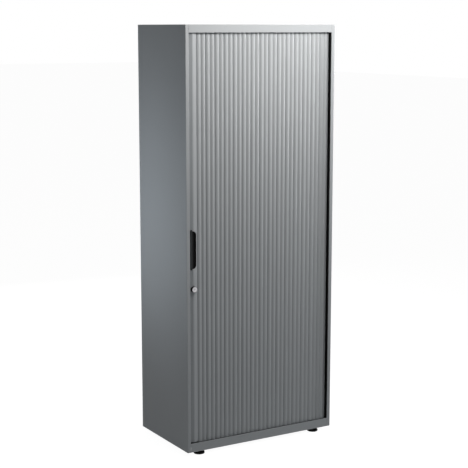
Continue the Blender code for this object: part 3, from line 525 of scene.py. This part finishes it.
def handle_cup():
    """The D-shaped finger cup: a rolled rim, drafted walls and a rounded floor."""
    outline = rounded(
        (
            (CUP_LEFT, HANDLE_LEVEL - CUP_HALF),
            (CUP_RIGHT, HANDLE_LEVEL - CUP_HALF),
            (CUP_RIGHT, HANDLE_LEVEL + CUP_HALF),
            (CUP_LEFT, HANDLE_LEVEL + CUP_HALF),
        ),
        (CUP_TIGHT_ROUND, CUP_ROUND, CUP_ROUND, CUP_TIGHT_ROUND),
    )
    rings = []
    for margin, depth in CUP_OUTSIDE:
        rings.append([world(x, depth, z) for x, z in drawn_in(outline, margin)])
    for margin, lift in CUP_RIM:
        ring = drawn_in(outline, margin)
        rings.append([world(x, rail_depth(x) - lift, z) for x, z in ring])
    for margin, depth in CUP_INSIDE:
        rings.append([world(x, depth, z) for x, z in drawn_in(outline, margin)])
    shape = bmesh.new()
    skin(shape, rings)
    dress(new_object("handle_finger_cup", shape, BLACK, 0.9), "door_lead", "black_plastic")


def circle(radius, sides):
    turns = [2 * math.pi * step / sides for step in range(sides)]
    return [(radius * math.cos(turn), radius * math.sin(turn)) for turn in turns]


def slot_outline(width, height, sides):
    """A narrow upright slot with round ends, as many points as a circle."""
    points = []
    for u, v in circle(1, sides):
        across = math.copysign(abs(u) ** 0.25, u) * width / 2
        points.append((across, math.copysign(abs(v) ** 0.7, v) * height / 2))
    return points


def axial(x, z, ring, depth):
    """A ring of (u, v) points about an axis that runs front to back."""
    return [world(x + u, depth, z + v) for u, v in ring]


def turned(profile):
    """Rings of a (radius, depth) profile about the lock's axis."""
    return [
        axial(LOCK_X, LOCK_LEVEL, circle(radius, LOCK_SIDES), depth)
        for radius, depth in profile
    ]


def lock():
    """A collar with a turned edge, and inside it the disc of the key cylinder."""
    shape = bmesh.new()
    skin(shape, turned(COLLAR_PROFILE), closed=True)
    dress(new_object("lock_collar", shape, BLACK), "door_lead", "black_plastic", "lock_housing")

    rings = turned(DISC_PROFILE)
    slot = slot_outline(*KEY_SLOT, LOCK_SIDES)
    for depth in (KEY_SLOT_MOUTH, KEY_SLOT_FLOOR):
        rings.append(axial(LOCK_X, LOCK_LEVEL, slot, depth))
    shape = bmesh.new()
    skin(shape, rings)
    dress(new_object("lock_disc", shape, NICKEL, 0.4), "lock_plug", "lock_metal", "lock_cylinder")


def screws():
    """Small slotted heads that hold the handle at both ends of its cup."""
    for name, rise in (("top", SCREW_RISE), ("bottom", -SCREW_RISE)):
        level = HANDLE_LEVEL + rise
        seat = rail_depth(SCREW_X)
        rings = []
        for share, lift in SCREW_HEAD:
            ring = circle(SCREW_RADIUS * share, SCREW_SIDES)
            rings.append(axial(SCREW_X, level, ring, seat - lift))
        slot = slot_outline(*SCREW_SLOT, SCREW_SIDES)
        for lift in (SCREW_HEIGHT, SCREW_SLOT_FLOOR):
            rings.append(axial(SCREW_X, level, slot, seat - lift))
        shape = bmesh.new()
        skin(shape, rings)
        dress(new_object(f"handle_screw_{name}", shape, NICKEL), "door_lead", "lock_metal")


def hexagon(flats, sides):
    """A hexagon of a width across flats, as many points as a circle."""
    points = []
    for u, v in circle(1, sides):
        turn = math.atan2(v, u) % (math.pi / 3) - math.pi / 6
        reach = flats / 2 / math.cos(turn)
        points.append((u * reach, v * reach))
    return points


def level_ring(x, y, ring, z):
    """A ring of (u, v) points about an upright axis."""
    return [world(x + u, y + v, z) for u, v in ring]


def feet():
    """Each foot: a moulded disc with a hexagon on its neck, and a threaded steel stem."""
    count = round((THREAD_HIGH - THREAD_LOW) / THREAD_PITCH)
    for name, (x, y) in FEET.items():
        rings = []
        for radius, z in FOOT_PROFILE:
            rings.append(level_ring(x, y, circle(radius, FOOT_SIDES), z))
        for flats, z in FOOT_HEXAGON:
            rings.append(level_ring(x, y, hexagon(flats, FOOT_SIDES), z))
        shape = bmesh.new()
        skin(shape, rings)
        dress(new_object(f"moulded_{name}", shape, BLACK, 0.5), name, "black_plastic", name)
        rings = [level_ring(x, y, circle(THREAD_ROOT, STEM_SIDES), STEM_LOW)]
        for turn in range(count + 1):
            low = THREAD_LOW + turn * THREAD_PITCH
            for radius, share in THREAD_TURN:
                z = min(low + THREAD_PITCH * share, THREAD_HIGH)
                rings.append(level_ring(x, y, circle(radius, STEM_SIDES), z))
        shape = bmesh.new()
        skin(shape, rings)
        dress(new_object(f"threaded_stem_{name}", shape, ZINC), name, "zinc")


def shelves():
    """Pans folded down on all four sides with a return under them, every fold rounded."""
    inset = Vector((SHELF_SHEET / 2,) * 3)
    for number in range(1, SHELVES + 1):
        name = f"shelf_{number}"
        low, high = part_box(name)
        low, high = low + inset, high - inset
        middle = (low + high) / 2
        shape = bmesh.new()
        bmesh.ops.create_cube(shape, size=1)
        bmesh.ops.scale(shape, vec=high - low, verts=shape.verts)
        under = [face for face in shape.faces if face.normal.z < -0.5]
        bmesh.ops.delete(shape, geom=under, context="FACES_ONLY")
        rim = [edge for edge in shape.edges if edge.is_boundary]
        drawn = bmesh.ops.extrude_edge_only(shape, edges=rim)["geom"]
        for corner in (item for item in drawn if isinstance(item, bmesh.types.BMVert)):
            corner.co.x -= math.copysign(SHELF_RETURN, corner.co.x)
            corner.co.y -= math.copysign(SHELF_RETURN, corner.co.y)
        inner = (edge for edge in shape.edges if not edge.is_boundary)
        folds = [edge for edge in inner if edge.calc_face_angle() > 0.5]
        bmesh.ops.bevel(
            shape, geom=folds, offset=SHELF_FOLD, segments=4, profile=0.5, affect="EDGES"
        )
        bmesh.ops.translate(shape, verts=shape.verts, vec=middle)
        bmesh.ops.recalc_face_normals(shape, faces=shape.faces)
        made = new_object(f"folded_{name}", shape, SILVER)
        wall = made.modifiers.new("sheet", "SOLIDIFY")
        wall.thickness = SHELF_SHEET
        wall.offset = 0
        wall.use_even_offset = True
        dress(made, "carcass", "shelf_paint", name)


slats()
handle_strip()
handle_cup()
screws()
lock()
feet()
shelves()


def shown_rays(tree):
    """1 for camera, glossy and transmission rays, and 0 for the rest."""
    light = node(tree, "ShaderNodeLightPath")
    seen = node(tree, "ShaderNodeMath", operation="MAXIMUM")
    also = node(tree, "ShaderNodeMath", operation="MAXIMUM")
    tree.links.new(light.outputs["Is Camera Ray"], seen.inputs[0])
    tree.links.new(light.outputs["Is Glossy Ray"], seen.inputs[1])
    tree.links.new(seen.outputs[0], also.inputs[0])
    tree.links.new(light.outputs["Is Transmission Ray"], also.inputs[1])
    return also.outputs[0]


def floor_material():
    made, tree, shader = tree_of("studio_floor")
    tree.nodes.remove(shader)
    out = tree.nodes["Material Output"]
    power = node(tree, "ShaderNodeMath", operation="MULTIPLY")
    power.inputs[1].default_value = FLOOR_GLOW
    tree.links.new(shown_rays(tree), power.inputs[0])
    matt = node(tree, "ShaderNodeBsdfDiffuse")
    matt.inputs["Color"].default_value = (FLOOR_SHADE, FLOOR_SHADE, FLOOR_SHADE, 1)
    glow = node(tree, "ShaderNodeEmission")
    tree.links.new(power.outputs[0], glow.inputs["Strength"])
    both = node(tree, "ShaderNodeAddShader")
    tree.links.new(matt.outputs[0], both.inputs[0])
    tree.links.new(glow.outputs[0], both.inputs[1])
    tree.links.new(both.outputs[0], out.inputs["Surface"])
    return made


def studio_floor():
    (x0, y0), (x1, y1) = FLOOR_LOW, FLOOR_HIGH
    shape = bmesh.new()
    corners = ((x0, y0), (x1, y0), (x1, y1), (x0, y1))
    shape.faces.new([shape.verts.new((x, y, 0)) for x, y in corners])
    floor = new_object("studio_floor", shape, floor_material())
    floor.location.z = -FLOOR_DROP


def studio_world():
    made = bpy.data.worlds.new("studio")
    scene.world = made
    made.use_nodes = True
    tree = made.node_tree
    back = tree.nodes["Background"]
    power = node(tree, "ShaderNodeMapRange")
    power.inputs["To Min"].default_value = WORLD_LIGHT
    power.inputs["To Max"].default_value = 1.0
    tree.links.new(shown_rays(tree), power.inputs["Value"])
    tree.links.new(power.outputs["Result"], back.inputs["Strength"])
    back.inputs["Color"].default_value = (1, 1, 1, 1)


def softbox(name, spot, aim, size, power, colour, spread_angle):
    lamp = bpy.data.lights.new(name, "AREA")
    lamp.spread = math.radians(spread_angle)
    lamp.shape = "RECTANGLE"
    lamp.size, lamp.size_y = size
    lamp.energy = power
    lamp.color = colour
    made = bpy.data.objects.new(name, lamp)
    scene.collection.objects.link(made)
    made.location = spot
    toward = Vector(aim) - Vector(spot)
    made.rotation_euler = toward.to_track_quat("-Z", "Y").to_euler()


studio_floor()
studio_world()
for name, values in LAMPS.items():
    softbox(name, *values)

camera_data = bpy.data.cameras.new("camera")
camera_data.lens = CAMERA_LENS
camera_data.sensor_width = SENSOR
camera_data.clip_end = 200
camera = bpy.data.objects.new("camera", camera_data)
scene.collection.objects.link(camera)
camera.location = CAMERA_SPOT
camera.rotation_euler = (math.radians(CAMERA_PITCH), 0, math.radians(CAMERA_YAW))
scene.camera = camera

scene.view_settings.view_transform = "Standard"

bpy.context.view_layer.update()
